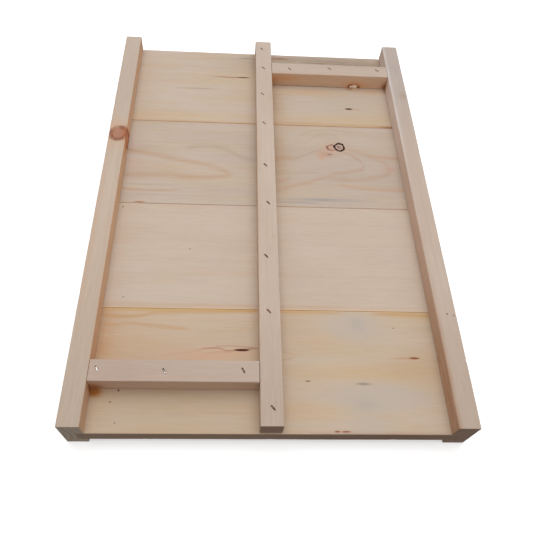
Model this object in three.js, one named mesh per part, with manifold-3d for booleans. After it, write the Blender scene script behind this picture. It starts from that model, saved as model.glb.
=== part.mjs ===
// Divided floor (bottom board) of a ten-frame beehive: two grooved side rails hold four floor planks,
// a batten splits the floor lengthwise, and a half-width cross batten closes one end of each half.
// Millimetres. +X is right, +Y points from the near end to the far end, +Z is up. The origin is on the
// ground, under the middle of the floor.

import * as THREE from 'three';
import { mergeVertices } from 'three/addons/utils/BufferGeometryUtils.js';
import Module from 'manifold-3d';

const wasm = await Module();
wasm.setup();

// ---------- driving dimensions ----------

const WIDTH = 406;
const LENGTH = 580;

const RAIL_THICKNESS = 22;
const UPPER_LIP = 22;
const FLOOR_THICKNESS = 19;
const LOWER_LIP = 9.5;
const DADO_DEPTH = 8;

const PLANK_JOINTS = [137.5, 284, 428.5];
const LAP_WIDTH = 8;

const BATTEN_WIDTH = 23;
const DIVIDER_SETBACK = 1.5;
const NEAR_BATTEN_SETBACK = 45;
const FAR_BATTEN_SETBACK = 47;

const FIT_GAP = 0.3;

const STAPLE_CROWN = 5.6;
const STAPLE_LEG = 35;
const STAPLE_WIRE = 1.1;
const STAPLE_BEND = 1;
const STAPLE_POINT = 1.6;
const STAPLE_SINK = 0.8;
const BEND_STEPS = 3;
const HOLE_HEADROOM = 1;

// Where each staple is driven: distance from the near end, then distance to the right of the middle.
const DIVIDER_STAPLES = [
  [19.5, 1],
  [124.5, -1],
  [195, -2.5],
  [272, 1.5],
  [333, -1],
  [408, -1.5],
  [465, -3],
  [520, -0.5],
  [563.5, -2.5],
];
const NEAR_BATTEN_STAPLES = [
  [58, -173],
  [56, -106.5],
  [57.5, -28],
];
const FAR_BATTEN_STAPLES = [
  [520.5, 37.5],
  [524, 96],
  [524, 166],
];
const RAIL_STAPLES_PER_PLANK = [0.25, 0.75];

// How far each row's crowns are turned from the X axis, clockwise as seen from above.
const DIVIDER_STAPLE_TURN = 50;
const NEAR_BATTEN_STAPLE_TURN = 62;
const FAR_BATTEN_STAPLE_TURN = 45;

// ---------- levels and places that follow from them ----------

const HEIGHT = UPPER_LIP + FLOOR_THICKNESS + LOWER_LIP;
const FLOOR_TOP = LOWER_LIP + FLOOR_THICKNESS;
const NEAR_END = -LENGTH / 2;
const FAR_END = LENGTH / 2;
const RAIL_OUTER = WIDTH / 2;
const RAIL_INNER = RAIL_OUTER - RAIL_THICKNESS;
const BATTEN_SIDE = BATTEN_WIDTH / 2;

// ---------- materials ----------

function pine(color) {
  return new THREE.MeshStandardMaterial({ color, roughness: 0.62, metalness: 0 });
}

function steel() {
  return new THREE.MeshStandardMaterial({ color: 0x9a958c, roughness: 0.35, metalness: 1 });
}

const RAIL_PINE = 0xc6b5a6;
const BATTEN_PINE = 0xc4b0a3;
const PLANK_PINE = [0xc9b590, 0xcbb7a0, 0xcab394, 0xcdbb9f];

// ---------- solids ----------

const MERGE_TOLERANCE = 1e-4;

function toSolid(geometry) {
  const bare = geometry.clone();
  bare.deleteAttribute('normal');
  bare.deleteAttribute('uv');
  const merged = mergeVertices(bare, MERGE_TOLERANCE);
  return new wasm.Manifold(
    new wasm.Mesh({
      numProp: 3,
      vertProperties: new Float32Array(merged.attributes.position.array),
      triVerts: new Uint32Array(merged.index.array),
    }),
  );
}

function toGeometry(solid) {
  const { vertProperties, triVerts } = solid.getMesh();
  const geometry = new THREE.BufferGeometry();
  geometry.setAttribute('position', new THREE.BufferAttribute(vertProperties, 3));
  geometry.setIndex(new THREE.BufferAttribute(triVerts, 1));
  const flat = geometry.toNonIndexed();
  flat.computeVertexNormals();
  return flat;
}

function cutAway(geometry, cutters) {
  let solid = toSolid(geometry);
  for (const cutter of cutters) {
    solid = solid.subtract(toSolid(cutter));
  }
  return toGeometry(solid);
}

function outlineOf(points) {
  return new THREE.Shape(points.map(([across, up]) => new THREE.Vector2(across, up)));
}

function boxBetween(low, high) {
  const size = high.map((value, axis) => value - low[axis]);
  const middle = high.map((value, axis) => (value + low[axis]) / 2);
  return new THREE.BoxGeometry(...size).translate(...middle);
}

// An outline of [x, z] points, run along Y from one end to the other.
function runAlongY(points, start, end) {
  const geometry = new THREE.ExtrudeGeometry(outlineOf(points), { depth: end - start, bevelEnabled: false });
  return geometry.rotateX(Math.PI / 2).translate(0, end, 0);
}

// An outline of [y, z] points, run along X from one end to the other.
function runAlongX(points, start, end) {
  const geometry = new THREE.ExtrudeGeometry(outlineOf(points), { depth: end - start, bevelEnabled: false });
  return geometry.rotateX(Math.PI / 2).rotateZ(Math.PI / 2).translate(start, 0, 0);
}

// ---------- staples ----------

// The legs of a staple, and the underside of its crown, which runs along X. gap widens it all round.
function legsShape(gap) {
  const half = STAPLE_CROWN / 2 + gap;
  const inner = STAPLE_CROWN / 2 - STAPLE_WIRE - gap;
  const foot = -STAPLE_LEG - gap;
  const shape = new THREE.Shape();
  shape.moveTo(-half, foot + STAPLE_POINT);
  shape.lineTo(-inner, foot);
  shape.lineTo(-inner, -STAPLE_WIRE - gap);
  shape.lineTo(inner, -STAPLE_WIRE - gap);
  shape.lineTo(inner, foot);
  shape.lineTo(half, foot + STAPLE_POINT);
  return shape;
}

function thickened(shape, thickness) {
  const geometry = new THREE.ExtrudeGeometry(shape, {
    depth: thickness,
    bevelEnabled: false,
    curveSegments: BEND_STEPS,
  });
  return geometry.translate(0, 0, -thickness / 2).rotateX(Math.PI / 2);
}

// A staple's own wire, with the top of its crown at the origin.
function stapleWire() {
  const bend = STAPLE_CROWN / 2 - STAPLE_BEND;
  const shape = legsShape(0);
  shape.absarc(bend, -STAPLE_BEND, STAPLE_BEND, 0, Math.PI / 2, false);
  shape.absarc(-bend, -STAPLE_BEND, STAPLE_BEND, Math.PI / 2, Math.PI, false);
  shape.closePath();
  return thickened(shape, STAPLE_WIRE);
}

// The hole that a staple sits in, open above its crown.
function stapleHole() {
  const half = STAPLE_CROWN / 2 + FIT_GAP;
  const top = STAPLE_SINK + HOLE_HEADROOM;
  const shape = legsShape(FIT_GAP);
  shape.lineTo(half, top);
  shape.lineTo(-half, top);
  shape.closePath();
  return thickened(shape, STAPLE_WIRE + 2 * FIT_GAP);
}

function placeOf(position, turns) {
  const turn = new THREE.Quaternion().setFromEuler(new THREE.Euler(...turns));
  return new THREE.Matrix4().compose(position, turn, new THREE.Vector3(1, 1, 1));
}

function topStaple(name, [fromNear, right], turn) {
  const position = new THREE.Vector3(right, NEAR_END + fromNear, HEIGHT - STAPLE_SINK);
  return { name, place: placeOf(position, [0, 0, THREE.MathUtils.degToRad(-turn)]) };
}

// Driven sideways through a rail, its crown along the rail, at the middle of the planks' thickness.
function railStaple(name, side, y) {
  const position = new THREE.Vector3(side * (RAIL_OUTER - STAPLE_SINK), y, LOWER_LIP + FLOOR_THICKNESS / 2);
  return { name, place: placeOf(position, [0, (side * Math.PI) / 2, Math.PI / 2]) };
}

function stapleHoles(staples) {
  return staples.map(({ place }) => stapleHole().applyMatrix4(place));
}

const plankEdges = [0, ...PLANK_JOINTS, LENGTH].map((fromNear) => NEAR_END + fromNear);

function railStaplesOf(name, side) {
  const staples = [];
  for (let plank = 0; plank + 1 < plankEdges.length; plank += 1) {
    for (const share of RAIL_STAPLES_PER_PLANK) {
      const y = THREE.MathUtils.lerp(plankEdges[plank], plankEdges[plank + 1], share);
      staples.push(railStaple(`${name}_${staples.length + 1}`, side, y));
    }
  }
  return staples;
}

function rowOfTopStaples(name, spots, turn) {
  return spots.map((spot, index) => topStaple(`${name}_${index + 1}`, spot, turn));
}

const dividerStaples = rowOfTopStaples('staple_divider', DIVIDER_STAPLES, DIVIDER_STAPLE_TURN);
const nearStaples = rowOfTopStaples('staple_near_batten', NEAR_BATTEN_STAPLES, NEAR_BATTEN_STAPLE_TURN);
const farStaples = rowOfTopStaples('staple_far_batten', FAR_BATTEN_STAPLES, FAR_BATTEN_STAPLE_TURN);
const leftStaples = railStaplesOf('staple_rail_left', -1);
const rightStaples = railStaplesOf('staple_rail_right', 1);
const battenStaples = [...dividerStaples, ...nearStaples, ...farStaples];
const allStaples = [...battenStaples, ...leftStaples, ...rightStaples];

// ---------- pieces of wood ----------

// A rail on edge, with a groove in its inner face that takes the planks' ends.
function rail(side, staples) {
  const outer = side * RAIL_OUTER;
  const inner = side * RAIL_INNER;
  const groove = side * (RAIL_INNER + DADO_DEPTH);
  const outline = [
    [outer, 0],
    [inner, 0],
    [inner, LOWER_LIP],
    [groove, LOWER_LIP],
    [groove, FLOOR_TOP + FIT_GAP],
    [inner, FLOOR_TOP + FIT_GAP],
    [inner, HEIGHT],
    [outer, HEIGHT],
  ];
  return cutAway(runAlongY(outline, NEAR_END, FAR_END), stapleHoles(staples));
}

// A floor plank. At a joint the nearer plank keeps its lower half, which runs on under the farther one.
function plank(index, staples) {
  const near = plankEdges[index];
  const far = plankEdges[index + 1];
  const isFirst = index === 0;
  const isLast = index === plankEdges.length - 2;
  const half = LOWER_LIP + FLOOR_THICKNESS / 2;
  const nearTop = isFirst ? near : near + FIT_GAP / 2;
  const nearFoot = isFirst ? near : near + LAP_WIDTH + FIT_GAP / 2;
  const farTop = isLast ? far : far - FIT_GAP / 2;
  const farFoot = isLast ? far : far + LAP_WIDTH - FIT_GAP / 2;
  const outline = [
    [nearFoot, LOWER_LIP],
    [farFoot, LOWER_LIP],
    [farFoot, half - FIT_GAP / 2],
    [farTop, half - FIT_GAP / 2],
    [farTop, FLOOR_TOP],
    [nearTop, FLOOR_TOP],
    [nearTop, half + FIT_GAP / 2],
    [nearFoot, half + FIT_GAP / 2],
  ];
  const square = outline.filter(([y, z], at) => {
    const [lastY, lastZ] = outline.at(at - 1);
    return y !== lastY || z !== lastZ;
  });
  const end = RAIL_INNER + DADO_DEPTH - FIT_GAP;
  return cutAway(runAlongX(square, -end, end), stapleHoles(staples));
}

function divider(staples) {
  const low = [-BATTEN_SIDE, NEAR_END + DIVIDER_SETBACK, FLOOR_TOP];
  const high = [BATTEN_SIDE, FAR_END, HEIGHT];
  return cutAway(boxBetween(low, high), stapleHoles(staples));
}

// A cross batten between the divider and a rail. side is -1 on the left and 1 on the right.
function crossBatten(side, near, staples) {
  const ends = [side * (BATTEN_SIDE + FIT_GAP), side * (RAIL_INNER - FIT_GAP)].sort((a, b) => a - b);
  const low = [ends[0], near, FLOOR_TOP];
  const high = [ends[1], near + BATTEN_WIDTH, HEIGHT];
  return cutAway(boxBetween(low, high), stapleHoles(staples));
}

// ---------- the assembly ----------

const floor = new THREE.Group();

function add(name, geometry, material) {
  const mesh = new THREE.Mesh(geometry, material);
  mesh.name = name;
  floor.add(mesh);
  return mesh;
}

add('rail_left', rail(-1, leftStaples), pine(RAIL_PINE));
add('rail_right', rail(1, rightStaples), pine(RAIL_PINE));
PLANK_PINE.forEach((color, index) => {
  add(`floor_plank_${index + 1}`, plank(index, allStaples), pine(color));
});
add('divider_batten', divider(dividerStaples), pine(BATTEN_PINE));
add(
  'near_cross_batten',
  crossBatten(-1, NEAR_END + NEAR_BATTEN_SETBACK, nearStaples),
  pine(BATTEN_PINE),
);
add(
  'far_cross_batten',
  crossBatten(1, FAR_END - FAR_BATTEN_SETBACK - BATTEN_WIDTH, farStaples),
  pine(BATTEN_PINE),
);
for (const { name, place } of allStaples) {
  add(name, stapleWire(), steel()).applyMatrix4(place);
}

export default floor;
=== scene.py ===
"""Looks for the divided beehive floor: planed pine boards with grain, knots and resin, and wire staples.

Sizes are in millimetres, and Blender's metres come in only where a mesh, light or camera is made. A place on
the floor is (distance to the right of the middle, distance from the near end).
"""

import math
from dataclasses import dataclass, field

import bmesh
import bpy
import numpy as np
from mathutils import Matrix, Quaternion, Vector
from mathutils.noise import noise as lumps


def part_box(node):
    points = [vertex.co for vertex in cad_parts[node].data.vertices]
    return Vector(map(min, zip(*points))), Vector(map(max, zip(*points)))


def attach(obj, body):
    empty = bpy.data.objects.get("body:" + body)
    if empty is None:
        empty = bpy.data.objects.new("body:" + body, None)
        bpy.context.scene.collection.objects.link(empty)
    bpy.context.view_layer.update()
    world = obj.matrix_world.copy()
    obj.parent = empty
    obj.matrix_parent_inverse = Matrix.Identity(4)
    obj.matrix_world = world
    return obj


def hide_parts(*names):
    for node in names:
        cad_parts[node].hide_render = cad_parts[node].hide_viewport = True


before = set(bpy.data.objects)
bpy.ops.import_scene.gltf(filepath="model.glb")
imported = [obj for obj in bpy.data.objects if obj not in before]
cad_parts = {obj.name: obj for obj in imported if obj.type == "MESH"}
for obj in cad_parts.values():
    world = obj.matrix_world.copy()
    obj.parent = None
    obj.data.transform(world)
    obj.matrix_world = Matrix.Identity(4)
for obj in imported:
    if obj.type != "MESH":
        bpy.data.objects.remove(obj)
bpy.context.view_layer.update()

MM = 0.001
X_AXIS, Y_AXIS, Z_AXIS = 0, 1, 2


# ---------- the frame's own sizes ----------


def box_mm(node):
    low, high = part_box(node)
    return low / MM, high / MM


RAILS = ["rail_left", "rail_right"]
PLANKS = [f"floor_plank_{number}" for number in range(1, 5)]
NEAR_END = box_mm("rail_left")[0].y
FLOOR_FOOT = box_mm("floor_plank_1")[0].z
FLOOR_TOP = box_mm("floor_plank_1")[1].z
RAIL_TOP = box_mm("rail_left")[1].z
FIT_GAP = box_mm("near_cross_batten")[0].x - box_mm("rail_left")[1].x


def on_floor(right, from_near):
    return Vector((right, NEAR_END + from_near, FLOOR_TOP))


def on_top(right, from_near):
    return Vector((right, NEAR_END + from_near, RAIL_TOP))


# ---------- colours ----------


def linear(channel):
    share = channel / 255
    return share / 12.92 if share <= 0.04045 else ((share + 0.055) / 1.055) ** 2.4


def seen(colour):
    """The surface colour that looks like this sRGB colour on a level face under the studio light."""
    return (*(linear(channel) for channel in colour), 1.0)


# ---------- what each board is like ----------


@dataclass
class Mark:
    """A stained patch, resin streak, tint or patch of painted light and shade: an ellipsoid of colour, soft
    or sharp at its edge.
    """

    place: Vector
    size: tuple
    colour: tuple
    strength: float
    sharp: float = 0.0


@dataclass
class GrainLine:
    """The dark edge of a growth ring on a board's face, through (along the grain, across it) places.

    A place's lengthwise part is measured from the middle on boards that lie across, and from the near end on
    boards that run lengthwise. width is half the line's width, and fade is the length of each soft end.
    """

    places: list
    width: float
    colour: tuple
    strength: float
    fade: tuple = (8.0, 8.0)


@dataclass
class Knot:
    """A branch that runs through the board along an axis. radius is (along the grain, across it)."""

    place: Vector
    axis: Vector
    radius: tuple
    heart: tuple
    ring: tuple
    rim: tuple
    halo: tuple
    rim_width: float
    rim_strength: float
    rim_worn: float = 0.5
    ragged: float = 2.2
    hollow: float = 0.3


@dataclass
class Swell:
    """Where the growth rings bulge, as they do round a knot: a hill added to the distance from the pith."""

    place: Vector
    size: tuple
    height: float


CUT_END = (172, 146, 122)


@dataclass
class Board:
    """One board's wood.

    pale, tint and late are the colours of early wood, of clouds in it and of late wood. side multiplies the
    colour of upright faces and is painted light and shade, standing in for the warm bounce light and the
    shade that each board's sides get. end is the colour of the sawn ends, set board by board and partly
    painted light and shade. pith is where the tree's middle ran, from the middle of the board's upper face.
    lean is how much it rises along the board, ring a year's growth, and sap is how far the wood drifts
    between warm and cool patches. The patches drawn under the grain lines are painted light and shade:
    darker where the studio light falls off or is shaded, and lighter on the right rail's far inner side.
    """

    node: str
    slot: str
    grain: int
    pale: tuple
    late: tuple
    tint: tuple
    pith: tuple
    lean: float
    ring: float
    contrast: float
    seed: float
    side: tuple = (1, 1, 1)
    end: tuple = CUT_END
    sap: float = 0.0
    knots: list = field(default_factory=list)
    swells: list = field(default_factory=list)
    lines: list = field(default_factory=list)
    painted_light_and_shade: list = field(default_factory=list)
    marks: list = field(default_factory=list)


def floor_mark(right, from_near, *look):
    """A mark on the planks' upper face, where look is its size, colour, strength and sharpness."""
    return Mark(on_floor(right, from_near), *look)


def floor_marks(*rows):
    return [floor_mark(*row) for row in rows]


def grain_lines(*rows):
    return [GrainLine(*row) for row in rows]


RAIL_KNOT = Knot(
    place=on_top(-190.6, 380.3), axis=Vector((0.6, 0.1, -1)).normalized(),
    radius=(11, 8.5), heart=(172, 118, 92), ring=(156, 108, 92),
    rim=(124, 62, 42), halo=(200, 164, 134), rim_width=0.42, rim_strength=0.85,
    rim_worn=0.65, ragged=2.6,
)
FLOOR_KNOT = Knot(
    place=on_floor(102.4, 389), axis=Vector((0.1, -0.15, 1)).normalized(),
    radius=(6.4, 6.8), heart=(194, 168, 152), ring=(112, 74, 70),
    rim=(42, 14, 10), halo=(190, 162, 142), rim_width=0.29, rim_strength=1.35,
    rim_worn=0.2, ragged=5.0,
)
SATELLITE_KNOT = Knot(
    place=on_floor(91.6, 388.0), axis=Vector((-0.3, -0.1, 1)).normalized(),
    radius=(6.4, 5.2), heart=(194, 160, 140), ring=(186, 144, 126),
    rim=(132, 84, 72), halo=(198, 160, 138), rim_width=0.32, rim_strength=1.0,
    ragged=5.0,
)
CHIPPED_KNOT = Knot(
    place=Vector((134, box_mm("far_cross_batten")[0].y, FLOOR_TOP + 2.6)),
    axis=Vector((0.15, 1, 0.1)).normalized(),
    radius=(7.4, 4.4), heart=(238, 248, 250), ring=(206, 196, 180),
    rim=(112, 70, 40), halo=(184, 138, 104), rim_width=0.42, rim_strength=1.1,
    rim_worn=0.8, ragged=6.5, hollow=1.5,
)

RESIN = (84, 34, 20)
FLAME_BROWN = (186, 154, 128)
FLAME_GREY = (174, 153, 136)
FLAME_PINK = (184, 148, 126)
OCHRE = (188, 146, 96)
YELLOW_BAND = (196, 164, 120)
GREY_STREAK = (150, 136, 124)
WEATHERED = (189, 175, 162)
CORNER_STAIN = (146, 96, 50)
JOINT_BROWN = (176, 128, 88)
JOINT_ORANGE = (180, 128, 82)
JOINT_YELLOW = (224, 180, 124)
JOINT_GREY = (190, 160, 136)


def corner_stain(side, from_near, strength):
    """Resin that has run down where a cross batten meets a rail."""
    across = side * (abs(box_mm(RAILS[0])[1].x) - 1)
    return Mark(Vector((across, NEAR_END + from_near, FLOOR_TOP + 4)), (4.5, 4, 8), CORNER_STAIN, strength)


def near_end_shade(right):
    """Painted shade: the near end of a lengthwise board drawn slightly darker, where the light falls off."""
    return Mark(on_top(right, 0), (60, 110, 60), (176, 158, 142), 0.6)


def speck(right, from_near, size=1.1):
    return floor_mark(right, from_near, (size, 0.8 * size, 2), RESIN, 1.0, 0.6)


def beside_divider(from_near):
    """The warm, shaded strip on the right of the divider."""
    return floor_mark(15, from_near, (15, 60, 8), (178, 151, 124), 0.75)


def joint(from_near, colour):
    """Darker wood in the narrow gap between two planks."""
    width = box_mm(PLANKS[0])[1].x
    return floor_mark(0, from_near, (2 * width, 1.1, 6), colour, 0.8)


NEAR_JOINT, MIDDLE_JOINT, FAR_JOINT = [box_mm(plank)[0].y - NEAR_END for plank in PLANKS[1:]]
BATTEN_FACE = box_mm("far_cross_batten")[0].y
BATTEN_NEAR_FACE = box_mm("near_cross_batten")[0].y

# What is drawn on the planks: (places), half width, colour, strength and soft ends for a line, and
# right, from near, (size), colour, strength and sharpness for a mark; some marks are painted shade.
PLANK_1_LINES = grain_lines(
    ([(-184, 136), (-100, 136.5), (-13, 136)], 1.9, OCHRE, 0.9),
    ([(13, 136), (50, 135.5), (84, 135)], 1.6, OCHRE, 0.6),
    ([(118, 134.6), (150, 134), (184, 133.5)], 2.2, OCHRE, 0.85),
    ([(-184, 129), (-150, 127), (-119, 133), (-68, 134), (-13, 136)], 2.6, OCHRE, 0.8),
    ([(-184, 119), (-166, 117), (-154, 119), (-132, 117), (-103, 114), (-88, 113)], 2.3, OCHRE, 0.65),
    ([(13, 87), (20, 86), (27, 84)], 0.8, JOINT_BROWN, 0.3, (1, 4)),
    ([(13, 79), (20, 79), (26, 82)], 0.8, JOINT_BROWN, 0.4, (1, 3)),
    ([(-110, 82), (-101, 84), (-91, 85), (-77, 87)], 0.9, FLAME_BROWN, 0.6),
    ([(-73, 88), (-56, 91), (-43, 88), (-33, 89), (-13, 91)], 0.8, (146, 84, 62), 0.8),
    ([(-62, 90), (-45, 93.5), (-31, 93), (-12, 91)], 0.6, (160, 104, 80), 0.7),
    ([(-66, 85), (-52, 86.5), (-40, 86)], 0.7, (166, 108, 84), 0.6),
)
PLANK_1_MARKS = floor_marks(
    (-150, 100, (60, 34, 9), (194, 164, 134), 0.6),
    # painted shade: the near left of the plank drawn darker, where the light falls off
    (-110, 40, (90, 40, 9), (184, 158, 128), 0.6),
    # painted shade: a darker, warmer strip beside the left rail
    (-177, 100, (13, 60, 8), (194, 150, 110), 0.6),
    (85, 64, (90, 9, 8), (198, 168, 128), 0.6),
    (156, 66, (34, 26, 8), (192, 162, 128), 0.6),
    (94, 118, (34, 20, 9), WEATHERED, 0.8, 0.15),
    (112, 38, (64, 17, 9), WEATHERED, 0.85, 0.3),
    (100, 8, (26, 14, 9), WEATHERED, 0.6, 0.1),
    (96, 30, (16, 9, 9), (176, 168, 157), 0.55),
    (98, 121, (9, 9, 9), (174, 167, 158), 0.55),
    (52, 100, (26, 8, 9), (200, 166, 126), 0.4),
    (40, 24, (40, 9, 9), (200, 168, 130), 0.45),
    (-110, 136, (90, 4, 6), YELLOW_BAND, 0.8),
    (30, 135, (34, 3, 6), YELLOW_BAND, 0.8),
    (165, 133, (34, 4, 6), YELLOW_BAND, 0.8),
    (-62, 82, (44, 9, 6), (204, 160, 132), 0.6),
    (-29, 88.8, (8.5, 1.5, 4), RESIN, 1.0, 0.5),
    (156, 81.6, (6, 1.3, 4), (128, 70, 32), 1.0, 0.4),
    (144, 81.4, (10, 1.2, 4), (188, 144, 110), 0.7),
    (39.7, 55, (3.0, 0.9, 4), (126, 84, 56), 0.9, 0.4),
    (97.7, 52.5, (8, 1.5, 4), GREY_STREAK, 0.9, 0.1),
    (66, 2.9, (3, 1.0, 3), (140, 76, 44), 1.0, 0.4),
    (75, 2.7, (5, 0.9, 3), (140, 70, 40), 1.0, 0.4),
    (-177.5, 41.5, (8.5, 5, 4), (170, 112, 52), 1.1, 0.1),
)
PLANK_1_MARKS += [
    # painted shade: the right half of the plank's near face drawn darker
    Mark(Vector((110, NEAR_END, FLOOR_TOP - 12)), (120, 3, 26), (176, 146, 126), 0.75),
    speck(-153, 43.5, 1.2), speck(-160, 31.5, 0.9), speck(-153, 10.6, 0.8), speck(138, 117, 0.8),
    joint(NEAR_JOINT, JOINT_YELLOW),
]
PLANK_3_LINES = grain_lines(
    ([(-184, 373), (-163, 369), (-118, 359), (-76, 350), (-56, 343), (-45, 335)], 4.2, FLAME_BROWN, 0.7),
    ([(-184, 330), (-131, 331), (-91, 329), (-62, 330), (-45, 335)], 4.4, FLAME_BROWN, 0.7),
    ([(-104, 380), (-78, 383), (-55, 380), (-40, 371), (-28, 364), (-10, 360)], 4.0, FLAME_GREY, 0.5),
    ([(-180, 315), (-142, 314), (-110, 314)], 1.8, FLAME_GREY, 0.4),
    ([(-186, 307.5), (-171, 306), (-140, 305), (-110, 307)], 2.0, FLAME_BROWN, 0.75),
    ([(-165, 297), (-135, 298), (-118, 297)], 1.8, FLAME_GREY, 0.3),
    ([(34, 364), (52, 371), (68, 380), (86, 387)], 1.9, FLAME_GREY, 0.6),
    ([(105, 381), (114, 377), (124, 369), (131, 361), (133, 354)], 3.2, FLAME_PINK, 0.6, (8, 1)),
    ([(86, 342), (102, 343), (114, 346), (128, 349), (133, 354)], 3.2, FLAME_PINK, 0.6, (8, 1)),
    ([(58, 395), (64, 402), (70, 409), (82, 414), (94, 412), (102, 405)], 2.0, FLAME_GREY, 0.35),
    ([(46, 400), (56, 413), (72, 420), (98, 421), (120, 416)], 1.8, FLAME_GREY, 0.3),
    ([(112, 386), (132, 379), (149, 370), (163, 361), (168, 350)], 4.6, FLAME_PINK, 0.4, (8, 1)),
    ([
        (12, 310), (38, 319), (63, 327), (76, 333), (100, 331), (118, 331), (140, 335), (161, 341),
        (168, 350),
    ], 4.2, FLAME_PINK, 0.5, (8, 1)),
    ([(146, 377), (163, 372), (186, 371)], 3.2, (190, 152, 128), 0.6),
    ([(96, 322), (130, 317), (151, 316), (186, 317)], 3.4, (190, 154, 128), 0.65),
    ([(8, 327), (19, 326), (30, 329)], 2.2, FLAME_PINK, 0.6),
    ([(12, 338), (34, 340), (52, 342), (72, 344)], 2.4, FLAME_GREY, 0.3),
)
PLANK_3_MARKS = floor_marks(
    (-128, 347, (60, 11, 8), (198, 170, 142), 0.45),
    (24, 366, (20, 5, 6), (182, 148, 120), 0.75),
    (82, 375.5, (12, 5.5, 5), (188, 146, 122), 0.8),
    (76, 368, (5, 5, 5), (200, 158, 132), 0.7),
    (166, 351, (9, 6, 5), (190, 152, 134), 0.6),
    (88, 375, (4, 1.3, 3), (126, 108, 92), 0.8, 0.4),
    (-157, 285.6, (8, 1.0, 4), (160, 92, 36), 1.0, 0.4),
    (72, 296.5, (40, 2.5, 4), (152, 146, 143), 0.8),
    (40, 291, (30, 2.0, 4), (152, 146, 143), 0.65),
)
PLANK_3_MARKS += [
    joint(MIDDLE_JOINT, JOINT_GREY), joint(FAR_JOINT, JOINT_ORANGE),
]
PLANK_4_LINES = grain_lines(
    ([(-184, 431), (-120, 431), (-60, 430), (-9, 430)], 1.5, YELLOW_BAND, 0.6),
    ([(10, 433), (60, 433), (120, 432), (186, 431)], 2.2, OCHRE, 0.7),
)
PLANK_4_MARKS = floor_marks(
    (-120, 440, (110, 8, 6), (200, 170, 130), 0.45),
    (110, 442, (120, 10, 6), (196, 168, 128), 0.5),
    (70, 497, (50, 6, 6), (202, 164, 122), 0.5),
    (131, 508, (8, 2.4, 3), (150, 106, 66), 0.8),
    (136, 508.4, (4.6, 1.5, 3), (236, 214, 176), 0.9, 0.3),
    (-48, 524, (30, 1.0, 4), (150, 100, 70), 0.9, 0.3),
    (-29, 524.4, (10, 1.2, 4), (100, 50, 28), 1.0, 0.4),
    (-96, 497.5, (26, 1.2, 4), GREY_STREAK, 0.6, 0.2),
    (-23.5, 568.5, (13, 1.6, 4), GREY_STREAK, 0.8, 0.1),
    (27, 571, (15, 3, 4), (140, 100, 70), 0.8),
    (123, 465, (6.5, 1.9, 3), (88, 40, 14), 1.0, 0.5),
    (134, 464.6, (6, 0.9, 3), (176, 132, 92), 0.7),
    (176, 430.2, (12, 1.6, 4), (132, 78, 36), 1.0),
    (160, 503, (20, 5, 4), (202, 164, 124), 0.6),
    (134, 509, (12, 2, 4), (180, 124, 80), 0.6),
    (181, 507, (2.5, 5, 4), CORNER_STAIN, 1.0),
)
PLANK_4_MARKS += [
    joint(FAR_JOINT, JOINT_ORANGE),
]

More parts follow.
